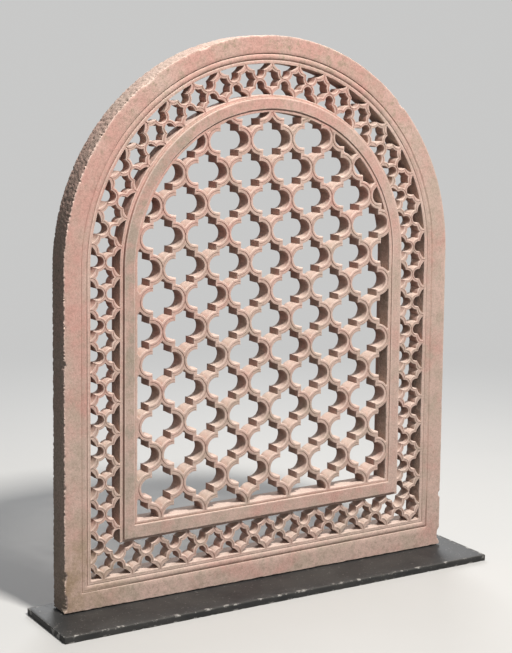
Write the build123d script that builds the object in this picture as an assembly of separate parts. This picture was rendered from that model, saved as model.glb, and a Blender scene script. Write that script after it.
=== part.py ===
"""Round-arched pierced stone screen (jali) standing on a timber board.

Millimetres, +Z up, the carved face towards -Y. The origin is the centre of the board's
underside. The stone is set out from its own underside and lifted onto the board at the end.
Every line of the outline is named by its inset from the outer edge: `side` along the jambs
and round the arch, `foot` along the bottom.
"""
from build123d import *
import math
import os

os.makedirs("parts", exist_ok=True)

# Board and bedding
BOARD_WIDTH = 1320.0
BOARD_DEPTH = 240.0
BOARD_THICKNESS = 18.0
BOARD_CHAMFER = 1.5
PAD_THICKNESS = 3.0
PAD_WIDTH = 150.0
PAD_SETBACK = 8.0
PAD_COUNT = 4

# Stone outline
STONE_WIDTH = 1200.0
SPRINGING = 875.0
STONE_FACE = 20.0
STONE_DEPTH = 70.0

# Outer frame: flat band, groove and bead, with a lip behind that backs the border panels
FRAME_SIDE = 66.0
FRAME_FOOT = 71.0
BEAD_WIDTH = 17.0
BEAD_DROP = 4.0
BEAD_FACETS = 3
GROOVE_WIDTH = 2.0
LIP = 6.0
CROWN_HALF_ANGLE = 8.0

# Pierced border: a rail along each edge and one row of openings between them
BORDER_RAIL = 9.0
BORDER_OPENING = 82.0
BORDER_FACE = 22.5
BORDER_DEPTH = 38.0
BORDER_PITCH = 80.5
CROWN_PITCHES = 3
LOBE_OFFSET = 22.5
LOBE_RADIUS = 14.0
LOBE_FACETS = 2
NICHE_CORNER = 13.5
BORDER_RIB = 9.0
STAR_FACETS = 1

# Raised liner between the border and the field
LINER_SIDE = 29.0
LINER_FOOT = 34.0
LINER_FACE = 13.0
LINER_DEPTH = 65.0
LINER_CHAMFER = 1.5

# Pierced field: staggered rows of circles merged in pairs, with a rib round each circle
FIELD_RAIL = 9.0
FIELD_FACE = 16.5
FIELD_DEPTH = 48.0
FIELD_COLUMNS = 6
FIELD_RIB = 14.85
FIELD_BAR = 11.0
FIELD_MARGIN = 2.1
ROW_GAP = 0.9
FIRST_ROW_RISE = 8.0
CIRCLE_FACETS = 2
OGEE_FACETS = 1
JOINT_ROW_COUNTS = (5, 9)

# Fits and dowels
FIT_GAP = 0.3
DOWEL_SIDE = 12.0
DOWEL_GRIP = 30.0
DOWEL_FIT = 0.25
DOWEL_END_GAP = 1.0
BOARD_GRIP = 12.0
BASE_DOWEL_X = 350.0

# Lines that follow from the sizes above
half_width = STONE_WIDTH / 2
arch_top = SPRINGING + half_width
stone_back = STONE_FACE + STONE_DEPTH
stone_middle = STONE_FACE + STONE_DEPTH / 2
stone_lift = BOARD_THICKNESS + PAD_THICKNESS
border_back = BORDER_FACE + BORDER_DEPTH
liner_back = LINER_FACE + LINER_DEPTH
field_back = FIELD_FACE + FIELD_DEPTH
border_width = BORDER_OPENING + 2 * BORDER_RAIL
liner_side = FRAME_SIDE + border_width
liner_foot = FRAME_FOOT + border_width
field_side = liner_side + LINER_SIDE
field_foot = liner_foot + LINER_FOOT
centre_side = FRAME_SIDE + border_width / 2
centre_foot = FRAME_FOOT + border_width / 2
centre_radius = half_width - centre_side
side_run = SPRINGING - centre_foot + centre_radius * math.pi / 2
bottom_pitches = round(2 * centre_radius / BORDER_PITCH)
side_pitches = round(side_run / BORDER_PITCH)
bottom_pitch = 2 * centre_radius / bottom_pitches
side_pitch = side_run / side_pitches
column_pitch = 2 * (half_width - field_side - FIELD_RAIL - FIELD_MARGIN) / FIELD_COLUMNS
row_pitch = column_pitch / 2 + FIELD_RIB + ROW_GAP
first_row = field_foot + FIELD_RAIL + FIRST_ROW_RISE
frame_middle = half_width - FRAME_SIDE / 2


# Outlines in the plane of the screen
def arched(side, foot):
    """Region inside the line at the given insets: a rectangle under a half circle."""
    half = half_width - side
    block = Pos(0, (foot + SPRINGING) / 2) * Rectangle(2 * half, SPRINGING - foot)
    return block + Pos(0, SPRINGING) * Circle(half)


def zone(x_low, x_high, z_low, z_high):
    middle = Pos((x_low + x_high) / 2, (z_low + z_high) / 2)
    return middle * Rectangle(x_high - x_low, z_high - z_low)


def slab(outline, face, back):
    """Upright slab with the given outline between two depths."""
    return extrude(Plane.XZ.offset(-back) * outline, amount=back - face)


def polygon(points):
    return make_face(Polyline(*points, close=True))


def mirrored(shape):
    return mirror(shape, about=Plane.YZ)


def arc_points(centre, start, end, facets):
    """Points from start to end, the short way about a centre."""
    radius = math.dist(centre, start)
    first = math.atan2(start[1] - centre[1], start[0] - centre[0])
    last = math.atan2(end[1] - centre[1], end[0] - centre[0])
    turn = math.remainder(last - first, 2 * math.pi)
    angles = [first + turn * i / facets for i in range(facets + 1)]
    return [(centre[0] + radius * math.cos(a), centre[1] + radius * math.sin(a)) for a in angles]


def leg(radius, other):
    return math.sqrt(radius**2 - other**2)


def four_fold(quarter):
    """Closed outline from the quarter that runs from the first axis to the second."""
    upper = quarter + [(-x, y) for x, y in quarter[-2::-1]]
    return upper + [(-x, -y) for x, y in upper[1:-1]]


# Mouldings: a section holds distances outwards from the inner edge, and depths
def jamb_run(section, inner, low, high):
    """Upright run on the right."""
    face = polygon([(inner + t, y) for t, y in section])
    return extrude(Pos(0, 0, low) * face, amount=high - low)


def arch_run(section, inner, start, end):
    """Run round the arch between two angles above the springing on the right."""
    centre = Axis((0, 0, SPRINGING), (0, -1, 0))
    face = Pos(0, 0, SPRINGING) * polygon([(inner + t, y) for t, y in section])
    return revolve(face.rotate(centre, start), centre, end - start)


def sill_run(foot_section, section, inner, outer, foot_line):
    """Bottom run whose mouldings are mitred into the feet of both jambs."""
    face = Plane.YZ.offset(-outer) * polygon([(y, foot_line - t) for t, y in foot_section])
    run = extrude(face, amount=2 * outer)
    reach = outer - inner + LIP
    lip_end = [(inner, foot_line), (inner - LIP, foot_line), (inner - LIP, foot_line + LIP)]
    above_mitre = polygon(lip_end + [(inner + reach, foot_line + LIP), (inner + reach, foot_line - reach)])
    wedge = slab(above_mitre, 0, stone_back + LIP)
    stub = jamb_run(section, inner, foot_line - reach, foot_line) & wedge
    return run - wedge - mirrored(wedge) + stub + mirrored(stub)


def frame_section(width):
    half_bead = BEAD_WIDTH / 2
    radius = (half_bead**2 + BEAD_DROP**2) / (2 * BEAD_DROP)
    foot_of_bead = STONE_FACE + BEAD_DROP
    centre = (half_bead, STONE_FACE + radius)
    bead = arc_points(centre, (0, foot_of_bead), (BEAD_WIDTH, foot_of_bead), BEAD_FACETS)
    band = [(BEAD_WIDTH + GROOVE_WIDTH, STONE_FACE), (width, STONE_FACE), (width, stone_back)]
    return bead + band + [(-LIP, stone_back), (-LIP, border_back), (0, border_back)]


# Raised liner: a band with a lip behind the panel on each side of it
def ring(side, foot, width_side, width_foot):
    """Region between two lines, given the outer one and the widths to the inner one."""
    return arched(side, foot) - arched(side + width_side, foot + width_foot)


def liner_ring():
    band = slab(ring(liner_side, liner_foot, LINER_SIDE, LINER_FOOT), LINER_FACE, liner_back)
    front = band.faces().sort_by(Axis.Y)[0]
    band = chamfer(front.edges(), LINER_CHAMFER)
    outer_lip = slab(ring(liner_side - LIP, liner_foot - LIP, LIP, LIP), border_back, liner_back)
    inner_lip = slab(ring(field_side, field_foot, LIP, LIP), field_back, liner_back)
    return band + outer_lip + inner_lip


# Pierced border
def star(half_along, half_across):
    """Eight-pointed opening whose sides follow the lobes of the four niches round it."""
    radius = LOBE_RADIUS + BORDER_RIB
    side_lobe = (half_along, half_across - LOBE_OFFSET)
    end_lobe = (half_along - LOBE_OFFSET, half_across)
    inward = leg(radius, LOBE_OFFSET / math.sqrt(2)) / math.sqrt(2)
    corner = (half_along - LOBE_OFFSET / 2 - inward, half_across - LOBE_OFFSET / 2 - inward)
    side_tip = (side_lobe[0] - leg(radius, side_lobe[1]), 0)
    end_tip = (0, end_lobe[1] - leg(radius, end_lobe[0]))
    lower = arc_points(side_lobe, side_tip, corner, STAR_FACETS)
    return four_fold(lower + arc_points(end_lobe, corner, end_tip, STAR_FACETS)[1:])


def niche():
    """Four lobes that meet at the corners of a small square; the edges cut it in half."""
    lobe = (LOBE_OFFSET, 0)
    tip = (LOBE_OFFSET + LOBE_RADIUS, 0)
    meeting = (NICHE_CORNER, leg(LOBE_RADIUS, LOBE_OFFSET - NICHE_CORNER))
    arm = arc_points(lobe, tip, meeting, LOBE_FACETS)[:-1]
    return four_fold(arm + [(NICHE_CORNER, NICHE_CORNER)] + [(y, x) for x, y in arm[::-1]])


def on_bottom(along, across):
    """Point of the bottom run; across is positive towards the outer edge."""
    return along, centre_foot - across


def on_side(along, across):
    """Point of the right-hand run, along its centre line from the corner to the crown."""
    rise = along - (SPRINGING - centre_foot)
    radius = centre_radius + across
    if rise <= 0:
        return radius, centre_foot + along
    angle = rise / centre_radius
    return radius * math.cos(angle), SPRINGING + radius * math.sin(angle)


def placed(outline, place, along, across):
    return polygon([place(along + x, across + y) for x, y in outline])


def border_openings():
    half = BORDER_OPENING / 2
    side_star = star(side_pitch / 2, half)
    right = []
    for k in range(1, side_pitches):
        right.append(placed(side_star, on_side, k * side_pitch, 0))
        right.append(placed(niche(), on_side, (k + 0.5) * side_pitch, -half))
    for k in range(side_pitches):
        right.append(placed(niche(), on_side, (k + 0.5) * side_pitch, half))
    openings = right + [mirrored(opening) for opening in right]
    openings.append(placed(side_star, on_side, side_run, 0))
    for k in range(bottom_pitches + 1):
        along = k * bottom_pitch - centre_radius
        openings.append(placed(star(bottom_pitch / 2, half), on_bottom, along, 0))
    for k in range(bottom_pitches):
        along = (k + 0.5) * bottom_pitch - centre_radius
        openings.append(placed(niche(), on_bottom, along, -half))
    for k in range(-1, bottom_pitches + 1):
        along = (k + 0.5) * bottom_pitch - centre_radius
        openings.append(placed(niche(), on_bottom, along, half))
    pierced = arched(FRAME_SIDE + BORDER_RAIL, FRAME_FOOT + BORDER_RAIL)
    return (Sketch() + openings) & (pierced - arched(liner_side - BORDER_RAIL, liner_foot - BORDER_RAIL))


def border_sheet():
    """The whole border in the plane of the screen, clear of the frame and of the liner."""
    outer = arched(FRAME_SIDE + FIT_GAP, FRAME_FOOT + FIT_GAP)
    inner = arched(liner_side - FIT_GAP, liner_foot - FIT_GAP)
    return outer - inner - border_openings()


# Pierced field
def paired_circles():
    """Two circles merged across the middle, pointed above and below between the next ribs."""
    centre_x = column_pitch / 4
    radius = (column_pitch / 2 - FIELD_RIB) / 2
    bar = FIELD_BAR / 2
    circle = (centre_x, 0)
    next_circle = (centre_x, row_pitch)
    neck = (centre_x - bar, leg(radius, bar))
    shoulder = (centre_x - bar, row_pitch - leg(radius + FIELD_RIB, bar))
    tip = (0, row_pitch - leg(radius + FIELD_RIB, centre_x))
    lobe = arc_points(circle, (centre_x + radius, 0), neck, CIRCLE_FACETS)
    return four_fold(lobe + arc_points(next_circle, shoulder, tip, OGEE_FACETS))


def field_sheet():
    """The whole field in the plane of the screen, clear of the liner."""
    field_top = arch_top - field_side
    rows = int((field_top - first_row) / row_pitch) + 2
    openings = []
    for row in range(rows):
        count = FIELD_COLUMNS + 1 - row % 2
        for k in range(count):
            x = (k - (count - 1) / 2) * column_pitch
            z = first_row + row * row_pitch
            openings.append(polygon([(x + u, z + v) for u, v in paired_circles()]))
    pierced = arched(field_side + FIELD_RAIL, field_foot + FIELD_RAIL)
    return arched(field_side + FIT_GAP, field_foot + FIT_GAP) - ((Sketch() + openings) & pierced)


# Dowels
def pin(x, z, length, side, lean):
    """Square bar from a seat, leaning by an angle about the depth axis."""
    bar = Box(side, side, length, align=(Align.CENTER, Align.CENTER, Align.MIN))
    return Pos(x, stone_middle, z) * Rot(0, lean, 0) * bar


def dowel_set(places, length):
    """Pins and the holes that take them, from each pin's seat: x, z and lean."""
    pins = [pin(x, z, length, DOWEL_SIDE, lean) for x, z, lean in places]
    hole_side = DOWEL_SIDE + 2 * DOWEL_FIT
    holes = [pin(x, z, length + DOWEL_END_GAP, hole_side, lean) for x, z, lean in places]
    return pins, holes


def drilled(shape, holes):
    for hole in holes:
        shape = shape - hole
    return shape


base_places = [(x, -stone_lift + BOARD_THICKNESS - BOARD_GRIP, 0) for x in (-BASE_DOWEL_X, 0, BASE_DOWEL_X)]
base_pins, base_holes = dowel_set(base_places, BOARD_GRIP + PAD_THICKNESS + DOWEL_GRIP)
foot_places = [(side * frame_middle, FRAME_FOOT - DOWEL_GRIP, 0) for side in (-1, 1)]
foot_pins, foot_holes = dowel_set(foot_places, 2 * DOWEL_GRIP)
springer_places = [(side * frame_middle, SPRINGING - DOWEL_GRIP, 0) for side in (-1, 1)]
springer_pins, springer_holes = dowel_set(springer_places, 2 * DOWEL_GRIP)


def crown_place(side):
    """Seat of the pin across a crown joint, square to the joint."""
    angle = math.radians(CROWN_HALF_ANGLE)
    x = frame_middle * math.sin(angle) + DOWEL_GRIP * math.cos(angle)
    z = SPRINGING + frame_middle * math.cos(angle) - DOWEL_GRIP * math.sin(angle)
    return side * x, z, side * (CROWN_HALF_ANGLE - 90)


crown_pins, crown_holes = dowel_set([crown_place(-1), crown_place(1)], 2 * DOWEL_GRIP)

# Frame
frame_inner = half_width - FRAME_SIDE
frame_profile = frame_section(FRAME_SIDE)
frame_sill = sill_run(frame_section(FRAME_FOOT), frame_profile, frame_inner, half_width, FRAME_FOOT)
frame_jamb = jamb_run(frame_profile, frame_inner, FRAME_FOOT, SPRINGING)
frame_arch = arch_run(frame_profile, frame_inner, 0, 90 - CROWN_HALF_ANGLE)
frame_crown = arch_run(frame_profile, frame_inner, 90 - CROWN_HALF_ANGLE, 90 + CROWN_HALF_ANGLE)
frame_sill = drilled(frame_sill, base_holes + foot_holes)
frame_jamb = drilled(frame_jamb, foot_holes + springer_holes)
frame_arch = drilled(frame_arch, springer_holes + crown_holes)
frame_crown = drilled(frame_crown, crown_holes)

# Border panels
border = border_sheet()
border_joint = centre_foot + side_pitch / 2
opening_inner = half_width - liner_side + BORDER_RAIL
sill_zone = zone(-half_width, half_width, 0, border_joint)
sill_zone += zone(-opening_inner, opening_inner, 0, liner_foot)
crown_angle = CROWN_PITCHES * side_pitch / 2 / centre_radius
crown_edge = (2 * half_width * math.sin(crown_angle), SPRINGING + 2 * half_width * math.cos(crown_angle))
crown_zone = polygon([(0, SPRINGING), crown_edge, (-crown_edge[0], crown_edge[1])])
border_sill = slab(border & sill_zone, BORDER_FACE, border_back)
jamb_zone = zone(0, half_width, 0, SPRINGING) - sill_zone
border_jamb = slab(border & jamb_zone, BORDER_FACE, border_back)
arch_zone = zone(0, half_width, SPRINGING, arch_top) - crown_zone
border_arch = slab(border & arch_zone, BORDER_FACE, border_back)
border_crown = slab(border & crown_zone, BORDER_FACE, border_back)

# Liner
liner = liner_ring()
lip_inner = half_width - field_side - LIP
liner_sill_zone = zone(-half_width, half_width, 0, field_foot)
liner_sill_zone += zone(-lip_inner, lip_inner, 0, field_foot + LIP)
liner_sill = liner & slab(liner_sill_zone, LINER_FACE, liner_back)
liner_jamb_zone = zone(0, half_width, 0, SPRINGING) - liner_sill_zone
liner_jamb = liner & slab(liner_jamb_zone, LINER_FACE, liner_back)
liner_arch = liner & slab(zone(0, half_width, SPRINGING, arch_top), LINER_FACE, liner_back)

# Field panels
field = field_sheet()
field_joints = [0] + [first_row + row * row_pitch for row in JOINT_ROW_COUNTS] + [arch_top]
field_panels = [
    slab(field & zone(-half_width, half_width, low, high), FIELD_FACE, field_back)
    for low, high in zip(field_joints, field_joints[1:])
]

# Board and pads
board = Pos(0, 0, BOARD_THICKNESS / 2 - stone_lift) * Box(BOARD_WIDTH, BOARD_DEPTH, BOARD_THICKNESS)
board = chamfer(board.edges(), BOARD_CHAMFER)
board = drilled(board, base_holes)
pad_depth = STONE_DEPTH - 2 * PAD_SETBACK
pad_step = (STONE_WIDTH - PAD_WIDTH - 2 * PAD_SETBACK) / (PAD_COUNT - 1)
pad = Pos(0, stone_middle, -PAD_THICKNESS / 2) * Box(PAD_WIDTH, pad_depth, PAD_THICKNESS)
pads = [Pos((k - (PAD_COUNT - 1) / 2) * pad_step) * pad for k in range(PAD_COUNT)]

nodes = {
    "base_board": board,
    "setting_pads": Compound(pads),
    "base_dowels": Compound(base_pins),
    "frame_sill": frame_sill,
    "frame_jamb_right": frame_jamb,
    "frame_jamb_left": mirrored(frame_jamb),
    "frame_arch_right": frame_arch,
    "frame_arch_left": mirrored(frame_arch),
    "frame_crown": frame_crown,
    "foot_dowels": Compound(foot_pins),
    "springer_dowels": Compound(springer_pins),
    "crown_dowels": Compound(crown_pins),
    "border_sill": border_sill,
    "border_jamb_right": border_jamb,
    "border_jamb_left": mirrored(border_jamb),
    "border_arch_right": border_arch,
    "border_arch_left": mirrored(border_arch),
    "border_crown": border_crown,
    "liner_sill": liner_sill,
    "liner_jamb_right": liner_jamb,
    "liner_jamb_left": mirrored(liner_jamb),
    "liner_arch_right": liner_arch,
    "liner_arch_left": mirrored(liner_arch),
    "field_panel_lower": field_panels[0],
    "field_panel_middle": field_panels[1],
    "field_panel_upper": field_panels[2],
}
for name, shape in nodes.items():
    export_step(Pos(0, 0, stone_lift) * shape, f"parts/{name}.step")
    print(name, len(shape.solids()), round(shape.volume / 1000, 1), "cm3")
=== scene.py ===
import math
from functools import partial
import bpy
import numpy as np
from mathutils import Matrix, Vector, geometry, kdtree, noise


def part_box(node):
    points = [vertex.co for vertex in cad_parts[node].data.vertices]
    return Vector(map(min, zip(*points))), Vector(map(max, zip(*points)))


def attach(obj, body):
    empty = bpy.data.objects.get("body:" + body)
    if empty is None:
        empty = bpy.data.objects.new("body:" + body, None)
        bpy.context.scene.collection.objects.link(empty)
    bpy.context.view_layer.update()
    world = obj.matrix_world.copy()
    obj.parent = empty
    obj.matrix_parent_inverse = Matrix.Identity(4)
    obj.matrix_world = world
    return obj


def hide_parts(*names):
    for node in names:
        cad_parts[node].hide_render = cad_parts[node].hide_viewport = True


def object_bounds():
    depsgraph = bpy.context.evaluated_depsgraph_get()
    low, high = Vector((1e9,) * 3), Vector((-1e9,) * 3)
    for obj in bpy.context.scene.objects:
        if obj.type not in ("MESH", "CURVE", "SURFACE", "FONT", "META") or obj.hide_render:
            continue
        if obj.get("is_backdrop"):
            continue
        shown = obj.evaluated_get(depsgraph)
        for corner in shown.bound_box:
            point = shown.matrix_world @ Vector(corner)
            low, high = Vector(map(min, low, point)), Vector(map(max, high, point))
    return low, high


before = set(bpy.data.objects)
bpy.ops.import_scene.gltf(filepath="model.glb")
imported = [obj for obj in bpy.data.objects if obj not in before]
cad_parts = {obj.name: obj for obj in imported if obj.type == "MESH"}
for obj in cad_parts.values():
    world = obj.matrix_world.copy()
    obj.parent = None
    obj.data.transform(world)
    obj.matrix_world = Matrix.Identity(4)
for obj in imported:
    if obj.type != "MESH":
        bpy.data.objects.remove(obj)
cadLow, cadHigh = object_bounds()
print("frame loaded:", len(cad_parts), "nodes")

mm = 0.001  # the stone is set out in millimetres and scaled once, when a mesh is made


def nodeBox(name):
    low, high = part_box(name)
    return low / mm, high / mm


# Setting out, in the plane of the stone: x to the right, z up from its own underside.
sillLow, sillHigh = nodeBox("frame_sill")
halfWidth, lift = sillHigh.x, sillLow.z
spring = nodeBox("frame_arch_right")[0].z - lift  # where the arch begins
crownTop = spring + halfWidth
lineSpacing = 6.0  # of the points along a moulding
onLine = 0.05  # a point this near to a line counts as on it

# Every moulding line is named by its inset from the stone's outer edge, at the side and at the foot.
# "side" and "foot" are those of a layer's outer edge, and "width" is how wide it is at each.
frameLook = {
    "side": 0.0, "foot": 0.0, "width": (66.0, 71.0), "lip": 6.0,
    # distance out from the inner edge, and depth below the face
    "section": [(0, 4.6), (0.9, 4.2), (1.8, 2.6), (3.5, 1.2), (6, 0.3), (8.5, 0), (11, 0.2), (13.5, 1.0),
                (15.4, 2.4), (16.4, 3.9), (17.3, 3.9), (18.1, 0.7), (19.4, 0)],
    "innerDepths": ((28, 32, 36, 42, 48, 54), (64, 68, 72, 76, 80, 84)),  # above and below the seat
    "arris": 2.2, "wave": 0.45, "crownAngle": 8.0,
    "lean": 0.0115,  # the foot mouldings rise to the right, and sit a little low beside the band
    "rise": [(56, -1.4), (165, 5.1)],
    "riseFades": (215, 520),  # heights over which the mouldings become level
    "trueEdge": (8, 45),  # distances from the outer edge over which it stays straight
    "chipReach": 12.0, "deepestChip": 7.5,
    # larger losses along the outer edge: place, size and depth
    "losses": [(600, 152, 12, 4), (600, 30, 24, 6), (-600, 24, 34, 5),
               (-600, 96, 18, 4), (-600, 640, 14, 3), (430, 1295, 20, 3)],
}
borderLook = {
    "side": 66.0, "foot": 71.0, "width": (100.0, 100.0), "rail": 9.0, "opening": 82.0,
    "lobeOffset": 22.5, "lobeRadius": 14.0, "rib": 9.0,
    "neck": 14.6,  # half the width of a niche where its lobe meets the flares
    "flareRadius": 35.8, "flareCentre": (4.7, -18.3),
    # how far the carving has crept along the bottom, and up the right and left runs
    "bottomCreep": (0.0115, 0.9),
    "rightCreep": [(0, 0), (80, 0), (160, 2.6), (240, 6.5), (400, 10.8), (880, 10.6), (1040, 8),
                   (1200, 5.3), (1360, -2.4), (1520, -3.9)],
    "leftCreep": [(0, 0), (80, 1.2), (240, 6.1), (400, 10.4), (720, 15.7), (1040, 19.8),
                  (1200, 15.3), (1360, 10.5), (1520, 3.9)],
    "bottomPitches": 12, "sidePitches": 19, "crownPitches": 3, "arris": 1.5,
    "arrisLines": (0, 0.4, 1.5),  # rows of points that carry the worn arris of an opening
    "wave": 0.3,
    "wander": 0.9,  # how far the carved outlines stray from the setting out
    "groove": (0.85, 1.5),  # half width and depth
}
linerLook = {
    "side": 166.0, "foot": 171.0, "width": (29.0, 34.0), "lip": 6.0,
    "outerDepths": ((17, 23, 40), (70,)),  # above and below the seat
    "innerDepths": ((17, 30, 50), (72,)),
    "arris": 1.5, "arrisLines": (0, 0.45, 1.5, 4, 9), "wave": 0.35,
}
fieldLook = {
    "side": 195.0, "foot": 205.0,
    "width": (1e4, 1e4),  # the innermost layer has no inner edge
    "rail": 9.0, "margin": 2.1, "columns": 6, "rib": 14.85, "bar": 11.0, "rowGap": 0.9,
    "firstRow": 8.0, "jointRows": (5, 9),
    "lean": 0.0166,  # the rows rise to the right and close up a little towards the springing
    "shift": 1.9, "pinch": 0.0075, "pinchFrom": (250, 850), "arris": 1.9,
    "arrisLines": (0, 0.5, 1.9), "wave": 0.35, "wander": 1.1, "groove": (1.1, 2.3),
    "quirk": 1.6,  # depth of the cut beside the liner
}
for look, node in ((frameLook, "frame_sill"), (borderLook, "border_sill"),
                   (linerLook, "liner_sill"), (fieldLook, "field_panel_lower")):
    low, high = nodeBox(node)
    look["face"], look["back"] = low.y, high.y
    look["inner"] = (look["side"] + look["width"][0], look["foot"] + look["width"][1])

b, f = borderLook, fieldLook
b["centreRadius"] = halfWidth - b["side"] - b["width"][0] / 2
b["centreFoot"] = b["foot"] + b["width"][0] / 2
b["bottomPitch"] = 2 * b["centreRadius"] / b["bottomPitches"]
b["sideRun"] = spring - b["centreFoot"]
b["sidePitch"] = (b["sideRun"] + b["centreRadius"] * math.pi / 2) / b["sidePitches"]
b["joint"] = b["centreFoot"] + b["sidePitch"] / 2
b["crownLean"] = b["crownPitches"] * b["sidePitch"] / 2 / b["centreRadius"]
f["columnPitch"] = 2 * (halfWidth - f["side"] - f["rail"] - f["margin"]) / f["columns"]
f["rowPitch"] = f["columnPitch"] / 2 + f["rib"] + f["rowGap"]
f["rowZero"] = f["foot"] + f["rail"] + f["firstRow"]


# Lines in the plane of the stone
def archedLoop(side, foot, spacing=lineSpacing):
    half = halfWidth - side
    across = np.linspace(-half, half, int(2 * half / spacing), endpoint=False)
    up = np.linspace(foot, spring, int((spring - foot) / spacing), endpoint=False)
    turn = np.linspace(0, math.pi, int(math.pi * half / spacing), endpoint=False)
    return np.vstack([
        np.column_stack([across, np.full(len(across), foot)]),
        np.column_stack([np.full(len(up), half), up]),
        np.column_stack([half * np.cos(turn), spring + half * np.sin(turn)]),
        np.column_stack([np.full(len(up), -half), spring + foot - up]),
    ])


def inside(points, side, foot):
    # distance inside the line at these insets, negative outside it
    x, z = points[:, 0], points[:, 1]
    arch = z > spring
    fromSide = halfWidth - np.where(arch, np.hypot(x, z - spring), np.abs(x))
    return np.minimum(fromSide - side, np.where(arch, 1e4, z - foot))


def outward(points):
    # direction square to the nearest moulding line
    x, z = points[:, 0], points[:, 1]
    rise = np.maximum(z - spring, 0)
    direction = np.column_stack([x, rise]) / np.maximum(np.hypot(x, rise), 1e-6)[:, None]
    low = z < halfWidth - np.abs(x)
    direction[low] = (0, -1)
    return direction


def inset(look, step):
    # a moulding line this far inside a layer's edge, by its insets at side and foot
    return look["side"] + step, look["foot"] + step


def between(points, outer, inner):
    return (inside(points, *outer) > 0) & (inside(points, *inner) < 0)


def rings(line, steps, spacing=lineSpacing):
    return [(archedLoop(line[0] + t, line[1] + t, spacing), True) for t in steps]


def cut(*corners):
    return np.array(corners), False


def levelCut(side, inner, outer, z):
    # a level joint between two stones
    return cut((side * (inner - 1), z), (side * (outer + 1), z))


def archCut(lean, inner, outer):
    # a joint square through the arch
    reach = np.array([inner - 1, outer + 1])
    return np.column_stack([reach * math.sin(lean), spring + reach * math.cos(lean)]), False


def arc(centre, radius, start, end, step=2.0):
    count = max(3, int(abs(end - start) * radius / step) + 1)
    turn = np.linspace(start, end, count)
    return np.column_stack([centre[0] + radius * np.cos(turn), centre[1] + radius * np.sin(turn)])


def arcThrough(centre, start, end, step=2.0):
    first = math.atan2(start[1] - centre[1], start[0] - centre[0])
    last = math.atan2(end[1] - centre[1], end[0] - centre[0])
    turn = math.remainder(last - first, 2 * math.pi)
    return arc(centre, math.dist(centre, start), first, first + turn, step)


def leg(radius, other):
    return math.sqrt(radius**2 - other**2)


def fourFold(quarter):
    # whole outline from the quarter between the first axis and the second
    upper = np.vstack([quarter, quarter[-2::-1] * (-1, 1)])
    return np.vstack([upper, upper[1:-1] * (-1, -1)])


# Outlines of the openings; grow is how far the line lies outside the opening, in the stone
def starOutline(halfAlong, grow):
    b = borderLook
    halfAcross = b["opening"] / 2
    radius = b["lobeRadius"] + b["rib"] - grow
    sideLobe = (halfAlong, halfAcross - b["lobeOffset"])
    endLobe = (halfAlong - b["lobeOffset"], halfAcross)
    inwards = leg(radius, b["lobeOffset"] / math.sqrt(2)) / math.sqrt(2)
    corner = (halfAlong - b["lobeOffset"] / 2 - inwards, halfAcross - b["lobeOffset"] / 2 - inwards)
    sideTip = (sideLobe[0] - leg(radius, sideLobe[1]), 0)
    endTip = (0, endLobe[1] - leg(radius, endLobe[0]))
    lower = arcThrough(sideLobe, sideTip, corner)
    return fourFold(np.vstack([lower, arcThrough(endLobe, corner, endTip)[1:]]))


def nicheOutline(grow):
    # a round lobe away from the rail on a flared foot; the rail cuts it in half
    b = borderLook
    centre, radius = b["flareCentre"], b["flareRadius"] + grow
    neck, lobe = b["neck"] + grow, b["lobeRadius"] + grow
    end = (centre[0] + leg(radius, centre[1]), 0)
    corner = (neck, centre[1] + leg(radius, neck - centre[0]))
    flare = arcThrough(centre, end, corner)
    top = arc((0, b["lobeOffset"]), lobe, 0, math.pi / 2)
    return fourFold(np.vstack([flare, top]))


def cornerOutline(grow):
    # the niche in an outer corner of the border has two flares and no lobe
    b = borderLook
    centre, radius = b["flareCentre"], b["flareRadius"] + grow
    end = (centre[0] + leg(radius, centre[1]), 0)
    middle = (centre[0] + centre[1] + math.sqrt(2 * radius**2 - (centre[0] - centre[1]) ** 2)) / 2
    flare = arcThrough(centre, end, (middle, middle))
    return fourFold(np.vstack([flare, flare[-2::-1][:, ::-1]]))


def pairOutline(grow):
    f = fieldLook
    centre = f["columnPitch"] / 4
    radius = (f["columnPitch"] / 2 - f["rib"]) / 2
    bar, around = f["bar"] / 2 - grow, radius + f["rib"] - grow
    neck = (centre - bar, leg(radius + grow, bar))
    shoulder = (centre - bar, f["rowPitch"] - leg(around, bar))
    tip = (0, f["rowPitch"] - leg(around, centre))
    lobe = arcThrough((centre, 0), (centre + radius + grow, 0), neck)
    rise = np.linspace(neck, shoulder, 7)[1:-1]
    return fourFold(np.vstack([lobe, rise, arcThrough((centre, f["rowPitch"]), shoulder, tip)]))


# Where the openings of the border lie along its runs
def onBottom(points):
    share, shift = borderLook["bottomCreep"]
    return np.column_stack([points[:, 0] * (1 + share) + shift, borderLook["centreFoot"] - points[:, 1]])


def onSide(points, creep="rightCreep"):
    places, shifts = zip(*borderLook[creep])
    along = points[:, 0] + np.interp(points[:, 0], places, shifts)
    angle = np.maximum(along - borderLook["sideRun"], 0) / borderLook["centreRadius"]
    radius = borderLook["centreRadius"] + points[:, 1]
    rise = np.minimum(along, borderLook["sideRun"]) + borderLook["centreFoot"]
    return np.column_stack([radius * np.cos(angle), rise + radius * np.sin(angle)])


def onLeft(points):
    return onSide(points, "leftCreep") * (-1, 1)


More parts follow.
